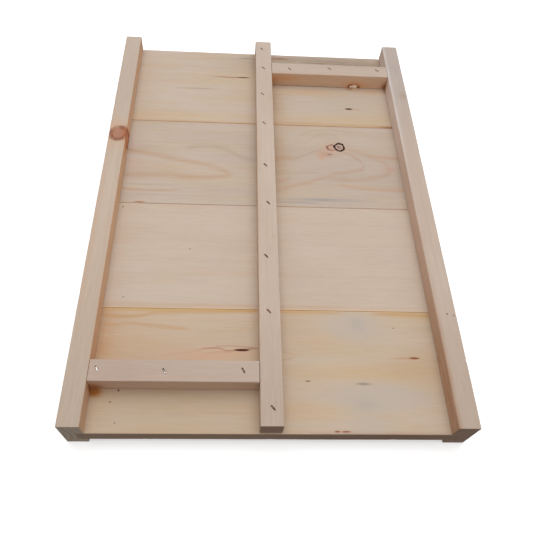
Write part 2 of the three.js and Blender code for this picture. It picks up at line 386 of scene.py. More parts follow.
BOARDS = [
    Board(
        "rail_left", "rail_pine", Y_AXIS,
        pale=(196, 180, 165), late=(190, 164, 142), tint=(193, 171, 152),
        side=(1.22, 0.97, 0.76), end=(206, 188, 170),
        pith=(-62, -24), lean=0.01, ring=5.6, contrast=0.16, seed=3.1,
        knots=[RAIL_KNOT],
        swells=[Swell(on_top(-190, 380), (26, 26, 60), 10)],
        # painted shade: the near end and the far end of the rail's top drawn darker, where the light falls
        # off
        painted_light_and_shade=[near_end_shade(-192), Mark(on_top(-192, 480), (30, 90, 20), (184, 167, 153), 0.6)],
        marks=[
            Mark(on_top(-199, 250), (3.4, 120, 8), (196, 156, 124), 0.4),
            Mark(on_top(-190, 290), (3, 90, 6), (208, 190, 172), 0.35),
            Mark(on_top(-183, 384), (4.5, 8, 6), (172, 114, 76), 0.7),
            Mark(Vector((-181, NEAR_END + 374, RAIL_TOP - 8)), (4, 12, 8), (190, 136, 94), 0.8),
            Mark(Vector((-181, NEAR_END + 362, RAIL_TOP - 10)), (3, 12, 1.4), (140, 72, 28), 0.8, 0.4),
            Mark(on_top(-196, 396), (5, 14, 6), (206, 166, 132), 0.5),
            corner_stain(-1, 43.5, 1.1),
        ],
    ),
    Board(
        "rail_right", "rail_pine", Y_AXIS,
        pale=(195, 178, 164), late=(190, 166, 148), tint=(191, 170, 154),
        side=(1.14, 1.02, 0.95), end=(164, 132, 112),
        pith=(70, -40), lean=-0.012, ring=4.8, contrast=0.14, seed=11.7,
        # painted light and shade: both ends of the top drawn darker, and the inner side drawn paler towards
        # the far end and darker towards the near end
        painted_light_and_shade=[
            near_end_shade(192),
            Mark(on_top(192, 520), (30, 120, 8), (176, 164, 158), 0.8),
            Mark(Vector((181, NEAR_END + 500, FLOOR_TOP + 10)), (3, 170, 40), (212, 206, 202), 0.8),
            Mark(Vector((181, NEAR_END + 20, FLOOR_TOP + 10)), (3, 170, 40), (160, 118, 84), 0.7),
        ],
        marks=[
            Mark(on_top(197, 471), (5, 9, 8), (150, 124, 104), 0.4),
            Mark(on_top(192.7, 124.4), (0.9, 1.3, 2), RESIN, 0.9, 0.7),
            Mark(on_top(199.7, 122.8), (0.8, 1.2, 2), RESIN, 0.8, 0.7),
            corner_stain(1, 508, 1.0),
        ],
    ),
    Board(
        "floor_plank_1", "plank_pine", X_AXIS,
        pale=(198, 179, 159), late=(198, 168, 138), tint=(194, 173, 149), side=(0.7, 0.62, 0.6),
        pith=(40, -150), lean=0.02, ring=7.6, contrast=0.12, seed=23.3, sap=0.3,
        lines=PLANK_1_LINES,
        marks=PLANK_1_MARKS,
    ),
    Board(
        "floor_plank_2", "plank_pine", X_AXIS,
        pale=(200, 183, 167), late=(196, 172, 150), tint=(197, 177, 159),
        pith=(-260, -120), lean=0.015, ring=7.0, contrast=0.1, seed=37.9, sap=0.16,
        marks=[
            floor_mark(0, 142, (190, 2.2, 4), (190, 150, 112), 0.4),
            speck(-91, 217, 0.9), speck(-161, 151, 0.9), speck(-176, 277),
            joint(NEAR_JOINT, JOINT_YELLOW), joint(MIDDLE_JOINT, JOINT_GREY),
        ],
    ),
    Board(
        "floor_plank_3", "plank_pine", X_AXIS,
        pale=(195, 179, 163), late=(190, 160, 132), tint=(188, 171, 156),
        pith=(-15, -60), lean=0.03, ring=6.2, contrast=0.08, seed=41.3, sap=0.4,
        knots=[SATELLITE_KNOT, FLOOR_KNOT],
        swells=[Swell(on_floor(104, 385), (30, 17, 60), -12)],
        # painted shade: a greyer, darker patch over the right half and the shaded strip beside the divider
        painted_light_and_shade=[floor_mark(110, 350, (90, 60, 9), (184, 168, 154), 0.7), beside_divider(365)],
        lines=PLANK_3_LINES,
        marks=PLANK_3_MARKS,
    ),
    Board(
        "floor_plank_4", "plank_pine", X_AXIS,
        pale=(198, 181, 165), late=(194, 167, 138), tint=(195, 174, 153),
        pith=(180, -110), lean=0.02, ring=7.4, contrast=0.12, seed=53.9, sap=0.4,
        lines=PLANK_4_LINES,
        # painted shade: the strip behind the far batten, a greyer, darker patch over the right half and the
        # shaded strip beside the divider
        painted_light_and_shade=[
            floor_mark(105, 558, (120, 26, 8), (152, 134, 118), 1.1),
            floor_mark(110, 475, (90, 40, 9), (188, 173, 158), 0.7),
            beside_divider(470),
        ],
        marks=PLANK_4_MARKS,
    ),
    Board(
        "divider_batten", "batten_pine", Y_AXIS,
        pale=(198, 180, 165), late=(190, 166, 146), tint=(194, 172, 154), side=(1.04, 0.93, 0.8),
        end=(160, 124, 102), pith=(58, -70), lean=0.01, ring=4.6, contrast=0.14, seed=61.3,
        # painted shade: both ends of the divider's top drawn darker, where the light falls off
        painted_light_and_shade=[near_end_shade(0), Mark(on_top(0, 530), (30, 80, 20), (192, 176, 163), 0.6)],
    ),
    Board(
        "near_cross_batten", "batten_pine", X_AXIS,
        pale=(190, 172, 158), late=(184, 158, 140), tint=(187, 165, 150), side=(1.17, 1.02, 0.9),
        pith=(-50, -60), lean=0.012, ring=4.8, contrast=0.14, seed=71.9,
        # painted shade: the left part of the top drawn darker, where the light falls off towards the near
        # left
        painted_light_and_shade=[Mark(on_top(-150, 57), (50, 40, 8), (183, 160, 145), 0.8)],
        marks=[Mark(Vector((-176, BATTEN_NEAR_FACE, FLOOR_TOP + 5)), (8, 4, 8), (158, 100, 46), 1.0)],
    ),
    Board(
        "far_cross_batten", "batten_pine", X_AXIS,
        pale=(192, 176, 163), late=(186, 162, 142), tint=(189, 168, 152),
        side=(1.27, 1.07, 0.88), pith=(-44, -52), lean=-0.012, ring=4.4, contrast=0.14, seed=83.3,
        knots=[CHIPPED_KNOT],
        swells=[Swell(Vector((134, BATTEN_FACE, FLOOR_TOP + 3)), (18, 20, 9), 6)],
        marks=[
            corner_stain(1, 509, 1.0),
            Mark(Vector((136, BATTEN_FACE, FLOOR_TOP + 6)), (20, 4, 6), (206, 140, 92), 0.35),
            Mark(Vector((22, BATTEN_FACE, FLOOR_TOP + 13)), (34, 4, 5), (196, 142, 98), 0.6),
            Mark(Vector((12, BATTEN_FACE, FLOOR_TOP + 4)), (9, 4, 9), (166, 118, 78), 0.6),
        ],
    ),
]


# ---------- board meshes ----------

ARRIS = 0.95
JOINT_ARRIS = 0.24
ARRIS_LEAST = 0.7
ARRIS_MOST = 2.2
END_ARRIS = 0.45
ARC_STEPS = 4
EDGE_MARGIN = 2.4
MESH_STEP = 3.2
KNOT_STEP = 0.9
KNOT_ZONE = 1.6
STAPLE_STEP = 1.5
STAPLE_ZONE = 5


def rail_outline(node):
    low, high = box_mm(node)
    side = 1 if high.x > 0 else -1
    outer = high.x if side > 0 else low.x
    inner = low.x if side > 0 else high.x
    groove = side * (box_mm("floor_plank_1")[1].x + FIT_GAP)
    return [
        (outer, low.z),
        (inner, low.z),
        (inner, FLOOR_FOOT),
        (groove, FLOOR_FOOT),
        (groove, FLOOR_TOP + FIT_GAP),
        (inner, FLOOR_TOP + FIT_GAP),
        (inner, high.z),
        (outer, high.z),
    ]


def plank_outline(node):
    """A lapped section: the upper half ends at the joint, the lower half runs on under the next plank."""
    index = PLANKS.index(node)
    low, high = box_mm(node)
    half = (FLOOR_FOOT + FLOOR_TOP) / 2
    near_foot = low.y if index == 0 else box_mm(PLANKS[index - 1])[1].y + FIT_GAP
    far_top = high.y if node == PLANKS[-1] else box_mm(PLANKS[index + 1])[0].y - FIT_GAP
    outline = [(near_foot, FLOOR_FOOT), (high.y, FLOOR_FOOT)]
    if far_top < high.y:
        outline += [(high.y, half - FIT_GAP / 2), (far_top, half - FIT_GAP / 2)]
    outline += [(far_top, FLOOR_TOP), (low.y, FLOOR_TOP)]
    if near_foot > low.y:
        outline += [(low.y, half + FIT_GAP / 2), (near_foot, half + FIT_GAP / 2)]
    return outline


def batten_outline(node, across):
    low, high = box_mm(node)
    return [(low[across], low.z), (high[across], low.z), (high[across], high.z), (low[across], high.z)]


def outline_of(board):
    if board.node in RAILS:
        return rail_outline(board.node)
    if board.node in PLANKS:
        return plank_outline(board.node)
    return batten_outline(board.node, across_of(board))


def across_of(board):
    return Y_AXIS if board.grain == X_AXIS else X_AXIS


def counter_clockwise(outline):
    area = sum(
        start[0] * end[1] - end[0] * start[1] for start, end in zip(outline, outline[1:] + outline[:1])
    )
    return outline if area > 0 else outline[::-1]


def graded(start, end, zones):
    """Positions from start to end, closer together inside the zones, which are (low, high, step)."""
    stops = [start]
    while stops[-1] < end:
        at = stops[-1]
        steps = [step for low, high, step in zones if low - MESH_STEP < at < high]
        stops.append(at + min([MESH_STEP, *steps]))
    squeeze = (end - start) / (stops[-1] - start)
    return [start + (stop - start) * squeeze for stop in stops]


def staples_in(board):
    low, high = box_mm(board.node)
    found = []
    for name in sorted(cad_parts):
        if not name.startswith("staple_"):
            continue
        staple_low, staple_high = box_mm(name)
        if all(staple_low[k] < high[k] and staple_high[k] > low[k] for k in range(3)):
            found.append(name)
    return found


def zones_of(board, axis):
    """Stretches along an axis that need a finer mesh: knots, and the staple slots seen from above."""
    zones = []
    for knot in board.knots:
        reach = KNOT_ZONE * knot.radius[0]
        zones.append((knot.place[axis] - reach, knot.place[axis] + reach, KNOT_STEP))
    for name in staples_in(board):
        middle = sum(box_mm(name), Vector()) / 2
        if axis != Z_AXIS and middle.z > FLOOR_TOP and board.node not in PLANKS:
            zones.append((middle[axis] - STAPLE_ZONE, middle[axis] + STAPLE_ZONE, STAPLE_STEP))
    return zones


def ring_points(board, outline):
    """The section's points: kind, corner's number, place, the two inward normals there, turn of the arc."""
    corners = [Vector(corner) for corner in counter_clockwise(outline)]
    level_zones = zones_of(board, across_of(board))
    upright_zones = zones_of(board, Z_AXIS)
    points = []
    count = len(corners)
    for index, corner in enumerate(corners):
        before = (corner - corners[index - 1]).normalized()
        after = (corners[(index + 1) % count] - corner).normalized()
        normals = (Vector((-before.y, before.x)), Vector((-after.y, after.x)))
        convex = before.cross(after) > 0
        if convex:
            for step in range(ARC_STEPS + 1):
                turn = step / ARC_STEPS * math.pi / 2
                points.append(("arc", index, corner, normals, turn))
        else:
            points.append(("fold", index, corner, normals, 0))
        following = corners[(index + 1) % count]
        beyond = (corners[(index + 2) % count] - following).normalized()
        next_convex = after.cross(beyond) > 0
        length = (following - corner).length
        start = EDGE_MARGIN if convex else 0
        end = length - (EDGE_MARGIN if next_convex else 0)
        if end <= start:
            continue
        along = after.x + after.y
        level = abs(after.x) > 0.5
        origin = corner.x if level else corner.y
        local = []
        for low, high, step in level_zones if level else upright_zones:
            ends = sorted(((low - origin) * along, (high - origin) * along))
            local.append((*ends, step))
        stops = graded(start, end, local)
        stops = stops if convex else stops[1:]
        stops = stops if next_convex else stops[:-1]
        points += [("side", index, corner + after * stop, (normals[1], normals[1]), 0) for stop in stops]
    return points


def wander(board, index, along, length, spread, start):
    """A slow change along an edge, which differs from edge to edge and from board to board."""
    seed = board.seed + spread * index + start
    return lumps(Vector((along / length, seed, 0.5 * seed)))


def waves(point, height, length):
    """Unevenness of a surface, of this height and length."""
    return height * lumps(point / length)


SLOW_EASE = (46, 7.3, 0)
SLOW_SHARE = 0.45
QUICK_EASE = (9, 3.1, 50)
QUICK_SHARE = 0.25
NICKS = (6, 5.7, 90)
NICK_THRESHOLD = 0.42
NICK_DEPTH = 3.2
FLOOR_EDGES = (box_mm(PLANKS[0])[0].y, box_mm(PLANKS[-1])[1].y)


def is_joint(board, corner):
    """Whether a corner of the section is at a plank's joint, and not at the floor's near or far edge."""
    return board.node in PLANKS and corner.x not in FLOOR_EDGES


def arris_at(board, index, corner, along):
    """The radius of an eased edge, which varies along the board and has a nick here and there."""
    slow = SLOW_SHARE * wander(board, index, along, *SLOW_EASE)
    quick = QUICK_SHARE * wander(board, index, along, *QUICK_EASE)
    nick = max(0.0, wander(board, index, along, *NICKS) - NICK_THRESHOLD) * NICK_DEPTH
    share = JOINT_ARRIS / ARRIS if is_joint(board, corner) else 1
    uneven = ARRIS * (1 + slow + quick) + nick
    return share * min(ARRIS_MOST, max(ARRIS_LEAST, uneven))


KNOT_OUTLINE = (0.12, 3.0)
PLANED_DEPTH = 0.05
PLANED_WAVES = (0.05, 60)
FIBRE_WAVES = (0.025, 2.4)
FIBRE_STRETCH = 26
KNOT_REACH = 2
KNOT_RIM_DEPTH = 0.42
KNOT_RIM_SPREAD = 0.13
CHIP_WAVES = (0.8, 1.7)
DENT_DEPTH = 0.22
DENT_SPREAD = 3.4
DENT_REACH = 8
DENT_HEIGHT = 4


def knot_share(knot, board, point):
    """How far a point lies from a knot's axis, where 1 is its rim."""
    away = point - knot.place
    away -= knot.axis * away.dot(knot.axis)
    away[board.grain] /= knot.radius[0]
    for axis in {X_AXIS, Y_AXIS, Z_AXIS} - {board.grain}:
        away[axis] /= knot.radius[1]
    return away.length + waves(point, *KNOT_OUTLINE)


def relief(board, point, staples):
    """How far the surface lies below the CAD face at a point, never less than nothing."""
    grain_point = point.copy()
    grain_point[board.grain] /= FIBRE_STRETCH
    depth = PLANED_DEPTH + waves(point, *PLANED_WAVES) + waves(grain_point, *FIBRE_WAVES)
    for knot in board.knots:
        share = knot_share(knot, board, point)
        if share < KNOT_REACH:
            depth += KNOT_RIM_DEPTH * math.exp(-(((share - 1) / KNOT_RIM_SPREAD) ** 2))
            inside = max(0.0, 1 - share)
            depth += knot.hollow * inside * (1 + waves(point, *CHIP_WAVES))
    for staple in staples:
        away = point - staple.top
        height = away.dot(staple.down)
        flat = (away - staple.down * height).length
        if abs(height) < DENT_HEIGHT and flat < DENT_REACH:
            depth += DENT_DEPTH * math.exp(-((flat / DENT_SPREAD) ** 2))
    return max(0.0, depth)


def end_stations(board):
    """Places along the grain, each with how far the section is drawn in there."""
    low, high = box_mm(board.node)
    start, end = low[board.grain], high[board.grain]
    turns = [step / ARC_STEPS * math.pi / 2 for step in range(ARC_STEPS)]
    inner = graded(start + END_ARRIS, end - END_ARRIS, zones_of(board, board.grain))
    near = [(start + END_ARRIS * (1 - math.cos(turn)), END_ARRIS * (1 - math.sin(turn))) for turn in turns]
    far = [(start + end - place, inset) for place, inset in near[::-1]]
    return near + [(place, 0.0) for place in inner] + far


def section_point(board, entry, along, inset):
    kind, corner_index, corner, (before, after), turn = entry
    if kind == "arc":
        radius = arris_at(board, corner_index, corner, along)
        inward = before * math.cos(turn) + after * math.sin(turn)
        flat = corner + (before + after) * radius - inward * radius
        return flat + inward * inset, inward
    if kind == "fold":
        return corner + (before + after) * inset, (before + after).normalized()
    return corner + before * inset, before


def in_space(board, flat, along):
    return Vector((along, flat.x, flat.y)) if board.grain == X_AXIS else Vector((flat.x, along, flat.y))


CROWN_DEPTH = 1.2
SLOT_GAP = 0.22
SLOT_HEADROOM = 3


@dataclass
class Staple:
    """Where a staple is: its crown's top, the way its legs point, the way its crown runs, and its sizes."""

    top: Vector
    down: Vector
    crown: Vector
    leg: float
    reach: float
    wire: float


def staple_pose(name):
    """Reads a staple's place and sizes off its CAD mesh."""
    points = np.array([vertex.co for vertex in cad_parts[name].data.vertices]) / MM
    down = Vector((0, 0, -1))
    if name.startswith("staple_rail"):
        down = Vector((1 if points[:, 0].mean() < 0 else -1, 0, 0))
    depth = points @ np.array(down)
    crown_points = points[depth < depth.min() + CROWN_DEPTH]
    middle = Vector(crown_points.mean(0))
    middle += down * (depth.min() - middle.dot(down))
    offsets = crown_points - crown_points.mean(0)
    flat = offsets - np.outer(offsets @ np.array(down), np.array(down))
    crown = Vector(np.linalg.svd(flat)[2][0]).normalized()
    reach = np.ptp(flat @ np.array(crown))
    wire = np.ptp(flat @ np.array(down.cross(crown)))
    return Staple(middle, down, crown, float(np.ptp(depth)), float(reach), float(wire))


def staple_cutter(bm, name):
    """Adds the U-shaped hole of one staple, open at the top, to a mesh."""
    staple = staple_pose(name)
    side = staple.down.cross(staple.crown)
    half = staple.reach / 2 + SLOT_GAP
    inner = staple.reach / 2 - staple.wire - SLOT_GAP
    under = staple.wire + SLOT_GAP
    foot = staple.leg + SLOT_GAP
    outline = [
        (-half, -SLOT_HEADROOM), (half, -SLOT_HEADROOM), (half, foot), (inner, foot),
        (inner, under), (-inner, under), (-inner, foot), (-half, foot),
    ]
    thick = staple.wire / 2 + SLOT_GAP
    rows = []
    for offset in (-thick, thick):
        corner = staple.top + side * offset
        rows.append([bm.verts.new((corner + staple.crown * a + staple.down * b) * MM) for a, b in outline])
    count = len(outline)
    bm.faces.new(rows[0][::-1])
    bm.faces.new(rows[1])
    for index in range(count):
        after = (index + 1) % count
        bm.faces.new((rows[0][index], rows[0][after], rows[1][after], rows[1][index]))


def mesh_object(name, bm):
    bmesh.ops.recalc_face_normals(bm, faces=bm.faces)
    mesh = bpy.data.meshes.new(name)
    bm.to_mesh(mesh)
    bm.free()
    made = bpy.data.objects.new(name, mesh)
    bpy.context.scene.collection.objects.link(made)
    return made


def applied(made):
    """The object's mesh with its modifiers applied, in place."""
    bpy.context.view_layer.update()
    shown = made.evaluated_get(bpy.context.evaluated_depsgraph_get())
    mesh = bpy.data.meshes.new_from_object(shown)
    made.modifiers.clear()
    made.data = mesh
    return made


def cut_staple_holes(made, names):
    bm = bmesh.new()
    for name in names:
        staple_cutter(bm, name)
    cutter = mesh_object("staple_holes", bm)
    cut = made.modifiers.new("staple_holes", "BOOLEAN")
    cut.operation = "DIFFERENCE"
    cut.solver = "MANIFOLD"
    cut.object = cutter
    applied(made)
    bpy.data.objects.remove(cutter)


SHARP_TURN = math.radians(42)


def shade(made):
    """Smooth shading on eased edges, sharp in slots and folds."""
    bm = bmesh.new()
    bm.from_mesh(made.data)
    for face in bm.faces:
        face.smooth = True
    for edge in bm.edges:
        edge.smooth = edge.calc_face_angle(math.pi) < SHARP_TURN
    bm.to_mesh(made.data)
    bm.free()
    weighted = made.modifiers.new("flat_faces_stay_flat", "WEIGHTED_NORMAL")
    weighted.keep_sharp = True


def board_object(board):
    entries = ring_points(board, outline_of(board))
    holes = staples_in(board)
    dents = [staple_pose(name) for name in holes if board.node not in PLANKS]
    bm = bmesh.new()
    loops = []
    for along, inset in end_stations(board):
        loop = []
        for entry in entries:
            flat, inward = section_point(board, entry, along, inset)
            point = in_space(board, flat, along)
            push = in_space(board, inward, 0.0)
            loop.append(bm.verts.new((point + push * relief(board, point, dents)) * MM))
        loops.append(loop)
    count = len(entries)
    for first, second in zip(loops, loops[1:]):
        for index in range(count):
            after = (index + 1) % count
            bm.faces.new((first[index], first[after], second[after], second[index]))
    bm.faces.new(loops[0])
    bm.faces.new(loops[-1])
    made = mesh_object(f"pine_{board.node}", bm)
    if holes:
        cut_staple_holes(made, holes)
    shade(made)
    return made


# ---------- shader building ----------


class Graph:
    """Shader nodes of one material or world, added so that a formula reads as a formula."""

    def __init__(self, owner):
        owner.use_nodes = True
        self.tree = owner.node_tree
        self.tree.nodes.clear()

    def add(self, kind, values=(), **settings):
        node = self.tree.nodes.new(kind)
        for setting, value in settings.items():
            setattr(node, setting, value)
        for socket, value in dict(values).items():
            self.put(node.inputs[socket], value)
        return node

    def surface(self, kind, values):
        self.add("ShaderNodeOutputMaterial", {"Surface": self.add(kind, values).outputs[0]})

    def put(self, socket, value):
        if isinstance(value, bpy.types.NodeSocket):
            self.tree.links.new(value, socket)
        else:
            socket.default_value = value

    def math(self, operation, first, second=0.0):
        return self.add("ShaderNodeMath", {0: first, 1: second}, operation=operation).outputs[0]

    def plus(self, *values):
        total = values[0]
        for value in values[1:]:
            total = self.math("ADD", total, value)
        return total

    def times(self, *values):
        total = values[0]
        for value in values[1:]:
            total = self.math("MULTIPLY", total, value)
        return total

    def vector(self, operation, first, second):
        return self.add("ShaderNodeVectorMath", {0: first, 1: second}, operation=operation).outputs[0]

    def dot(self, first, second):
        values = {0: first, 1: second}
        return self.add("ShaderNodeVectorMath", values, operation="DOT_PRODUCT").outputs["Value"]

    def ramp(self, value, low, high, to_low=0.0, to_high=1.0, kind="SMOOTHSTEP"):
        values = {0: value, 1: low, 2: high, 3: to_low, 4: to_high}
        return self.add("ShaderNodeMapRange", values, interpolation_type=kind).outputs[0]

    def mix(self, share, first, second, blend="MIX"):
        node = self.add("ShaderNodeMix", {0: share, 6: first, 7: second}, data_type="RGBA", blend_type=blend)
        return node.outputs[2]

    def noise(self, place, detail, rough):
        values = {"Vector": place, "Scale": 1.0, "Detail": detail, "Roughness": rough}
        return self.add("ShaderNodeTexNoise", values)

    def even_noise(self, place, seed, scale, detail=3.0, rough=0.5):
        return self.noise(self.stretched(place, (scale,) * 3, seed), detail, rough).outputs

    def stretched(self, place, scale, seed):
        scaled = self.vector("MULTIPLY", place, scale)
        return self.vector("ADD", scaled, (seed, 1.7 * seed, 2.3 * seed))

    def hill(self, place, centre, size):
        """1 at centre, falling away as a bell over size."""
        away = self.vector("SUBTRACT", place, centre)
        away = self.vector("DIVIDE", away, size)
        square = self.dot(away, away)
        return self.math("POWER", 1 / math.e, square)


def along_grain(board, along, across):
    return tuple(along if axis == board.grain else across for axis in range(3))


@dataclass
class Noise:
    """A pattern's lengths along and across the grain, what tells it from the others, and its detail."""

    along: float
    across: float
    layer: float
    detail: float = 3.0
    rough: float = 0.6


SLOW_BEND = Noise(170, 34, 0, 1.0, 0.5)
SLOW_SHIFT = 9
QUICK_BEND = Noise(38, 7, 9, 1.0, 0.5)
QUICK_SHIFT = 1.1


def grain_noise(graph, board, place, pattern):
    scale = along_grain(board, 1 / pattern.along, 1 / pattern.across)
    scaled = graph.stretched(place, scale, board.seed + pattern.layer)
    return graph.noise(scaled, pattern.detail, pattern.rough).outputs


def bend(graph, board, place, pattern, amount):
    """How far the grain wanders sideways at a place."""
    waves_there = grain_noise(graph, board, place, pattern)["Color"]
    centred = graph.vector("SUBTRACT", waves_there, (0.5,) * 3)
    return graph.vector("MULTIPLY", centred, along_grain(board, 0, amount))


def board_place(graph, board):
    """The place in millimetres, the same bent by all the grain's waves and by the quick ones, the normal."""
    coordinates = graph.add("ShaderNodeTexCoord").outputs
    place = graph.vector("MULTIPLY", coordinates["Object"], (1 / MM,) * 3)
    shift = bend(graph, board, place, SLOW_BEND, SLOW_SHIFT)
    tremble = bend(graph, board, place, QUICK_BEND, QUICK_SHIFT)
    both = graph.vector("ADD", shift, tremble)
    wavy = graph.vector("ADD", place, both)
    slight = graph.vector("ADD", place, tremble)
    return place, wavy, slight, coordinates["Normal"]


LATE_RISE = (0.25, 0.88)
LATE_FALL = (0.9, 1.0, 1.0, 0.0)
YEAR_WEIGHT = (0.0, 1.0, 0.35, 1.0)


def ring_share(graph, board, wavy):
    """How late in its year the wood at a place grew, from 0 to 1, less in some years than in others."""
    low, high = box_mm(board.node)
    middle = (low + high) / 2
    parts = graph.add("ShaderNodeSeparateXYZ", {0: wavy}).outputs
    along = graph.math("SUBTRACT", parts[board.grain], middle[board.grain])
    across = graph.math("SUBTRACT", parts[across_of(board)], middle[across_of(board)] + board.pith[0])
    up = graph.math("SUBTRACT", parts[Z_AXIS], high.z + board.pith[1])
    up = graph.plus(up, graph.times(along, board.lean))
    radius = graph.math("SQRT", graph.plus(graph.times(across, across), graph.times(up, up)))
    for swell in board.swells:
        radius = graph.plus(radius, graph.times(graph.hill(wavy, swell.place, swell.size), swell.height))
    years = graph.times(radius, 1 / board.ring)
    year = graph.math("FLOOR", years)
    share = graph.math("FRACT", years)
    rise = graph.ramp(share, *LATE_RISE)
    fall = graph.ramp(share, *LATE_FALL)
    kind = graph.add("ShaderNodeTexWhiteNoise", {"W": year}, noise_dimensions="1D").outputs["Value"]
    weight = graph.ramp(kind, *YEAR_WEIGHT)
    return graph.times(rise, fall, weight)


KNOT_RAG = 0.21
HALO_SPREAD = 0.3
HALO_STRENGTH = 0.7
KNOT_RINGS = 22
KNOT_RING_SHARE = 0.22
MOTTLE_LAYER = 4
MOTTLE = (0.42, 4.0, 0.65)
MOTTLE_SHARE = 2.8
KNOT_MIDDLE = (0.1, 0.75, -0.75, -1.3)
KNOT_INSIDE = (0.92, 1.02, 1.0, 0.0)
RIM_SOLID = 0.3
RIM_WEAR = (0.3, 0.55)
RIM_SINK = -0.8
KNOT_ROUGH = 0.3


def knot_distance(graph, board, knot, place):
    """How far a place lies from a knot's axis, where 1 is its ragged rim."""
    rag = graph.even_noise(place, board.seed, KNOT_RAG)["Color"]
    rag = graph.vector("SUBTRACT", rag, (0.5,) * 3)
    rag = graph.vector("MULTIPLY", rag, (knot.ragged,) * 3)
    away = graph.vector("SUBTRACT", graph.vector("ADD", place, rag), knot.place)
    height = graph.dot(away, knot.axis)
    lift = graph.add("ShaderNodeVectorMath", {0: knot.axis, "Scale": height}, operation="SCALE").outputs[0]
    away = graph.vector("SUBTRACT", away, lift)
    away = graph.vector("DIVIDE", away, along_grain(board, *knot.radius))
    return graph.math("SQRT", graph.dot(away, away))


def add_knot(graph, board, knot, place, colour, height):
    distance = knot_distance(graph, board, knot, place)
    halo = graph.math("POWER", 1 / math.e, graph.times(distance, distance, HALO_SPREAD))
    colour = graph.mix(graph.times(halo, HALO_STRENGTH), colour, seen(knot.halo))
    rings = graph.math("SINE", graph.times(distance, KNOT_RINGS))
    mottle = graph.even_noise(place, board.seed + MOTTLE_LAYER, *MOTTLE)[0]
    middle = graph.ramp(distance, *KNOT_MIDDLE)
    blend = graph.plus(graph.times(rings, KNOT_RING_SHARE), graph.times(mottle, MOTTLE_SHARE), middle)
    blend = graph.math("MAXIMUM", graph.math("MINIMUM", blend, 1.0), 0.0)
    body = graph.mix(blend, seen(knot.heart), seen(knot.ring))
    inside = graph.ramp(distance, *KNOT_INSIDE)
    colour = graph.mix(inside, colour, body)
    off_rim = graph.math("ABSOLUTE", graph.math("SUBTRACT", distance, 1.0))
    rim = graph.ramp(off_rim, knot.rim_width * RIM_SOLID, knot.rim_width, 1.0, 0.0)
    worn = graph.ramp(mottle, *RIM_WEAR, 1 - knot.rim_worn, 1.0)
    rim = graph.times(rim, worn, knot.rim_strength)
    colour = graph.mix(rim, colour, seen(knot.rim))
    height = graph.plus(height, graph.times(rim, RIM_SINK), graph.times(inside, mottle, KNOT_ROUGH))
    return colour, height, inside


def add_line(graph, board, line, place, streaks, colour):
    """Draws a grain line: a smooth curve through its places, softer away from its middle and at its ends."""
    parts = graph.add("ShaderNodeSeparateXYZ", {0: place}).outputs
    along, across = parts[board.grain], parts[across_of(board)]
    if board.grain == X_AXIS:
        across = graph.math("SUBTRACT", across, NEAR_END)
    else:
        along = graph.math("SUBTRACT", along, NEAR_END)
    start, end = line.places[0][0], line.places[-1][0]
    least = min(height for _, height in line.places) - line.width
    span = max(height for _, height in line.places) + line.width - least
    share = graph.ramp(along, start, end, kind="LINEAR")
    curve = graph.add("ShaderNodeFloatCurve", {"Value": share})
    shape = [((at - start) / (end - start), (height - least) / span) for at, height in line.places]
    points = curve.mapping.curves[0].points
    points[0].location = shape[0]
    points[1].location = shape[-1]
    for spot in shape[1:-1]:
        points.new(*spot)
    curve.mapping.update()
    middle = graph.plus(graph.times(curve.outputs[0], span), least)
    away = graph.times(graph.math("SUBTRACT", across, middle), 1 / line.width)
    amount = graph.math("POWER", 1 / math.e, graph.times(away, away))
    amount = graph.times(amount, graph.ramp(along, start - line.fade[0], start + line.fade[0]))
    amount = graph.times(amount, graph.ramp(along, end - line.fade[1], end + line.fade[1], 1.0, 0.0))
    return graph.mix(graph.times(amount, streaks, line.strength), colour, seen(line.colour))


SHARP_LEVEL = 0.45
SHARP_LEAST = 0.04


def add_mark(graph, mark, place, streaks, colour):
    amount = graph.hill(place, mark.place, mark.size)
    if mark.sharp > 0:
        amount = graph.times(amount, graph.plus(graph.times(streaks, 0.5), 0.5))
        spread = SHARP_LEVEL * (1 - mark.sharp) + SHARP_LEAST
        amount = graph.ramp(amount, SHARP_LEVEL - spread, SHARP_LEVEL + spread)
    else:
        amount = graph.times(amount, streaks)
    return graph.mix(graph.times(amount, mark.strength), colour, seen(mark.colour))


BRUISE_AND_SHADE = seen((96, 46, 24))
BRUISE_AND_SHADE_LENGTH = 3.3
BRUISE_AND_SHADE_WIDTH = 1.1
BRUISE_AND_SHADE_EDGE = (0.55, 1.5)
BRUISE_AND_SHADE_NEAR = 0.85
BRUISE_AND_SHADE_FAR = 0.5
FAR_STAPLES = 90


def add_bruise_and_shade(graph, name, place, colour):
    """The dark, crushed edge of the slot that a staple has cut, with painted shade drawn down into the slot.
    """
    staple = staple_pose(name)
    away = graph.vector("SUBTRACT", place, staple.top)
    long = graph.dot(away, staple.crown / BRUISE_AND_SHADE_LENGTH)
    wide = graph.dot(away, staple.down.cross(staple.crown) / BRUISE_AND_SHADE_WIDTH)
    deep = graph.dot(away, staple.down / staple.leg)
    distance = graph.plus(graph.times(long, long), graph.times(wide, wide), graph.times(deep, deep))
    depth = BRUISE_AND_SHADE_FAR if staple.top.y > FAR_STAPLES else BRUISE_AND_SHADE_NEAR
    return graph.mix(graph.ramp(distance, *BRUISE_AND_SHADE_EDGE, depth, 0.0), colour, BRUISE_AND_SHADE)


CLOUD = Noise(130, 24, 2, 2.0, 0.5)
BAND = Noise(320, 5, 5)
PATCH = Noise(60, 9, 3)
FIBRE = Noise(34, 0.6, 6, 4.0, 0.7)
FLECK = Noise(22, 1.6, 7)
PORE = Noise(9, 0.4, 8, 1.0, 0.5)
STREAK = Noise(36, 2.4, 4)
SAP = Noise(80, 17, 10)

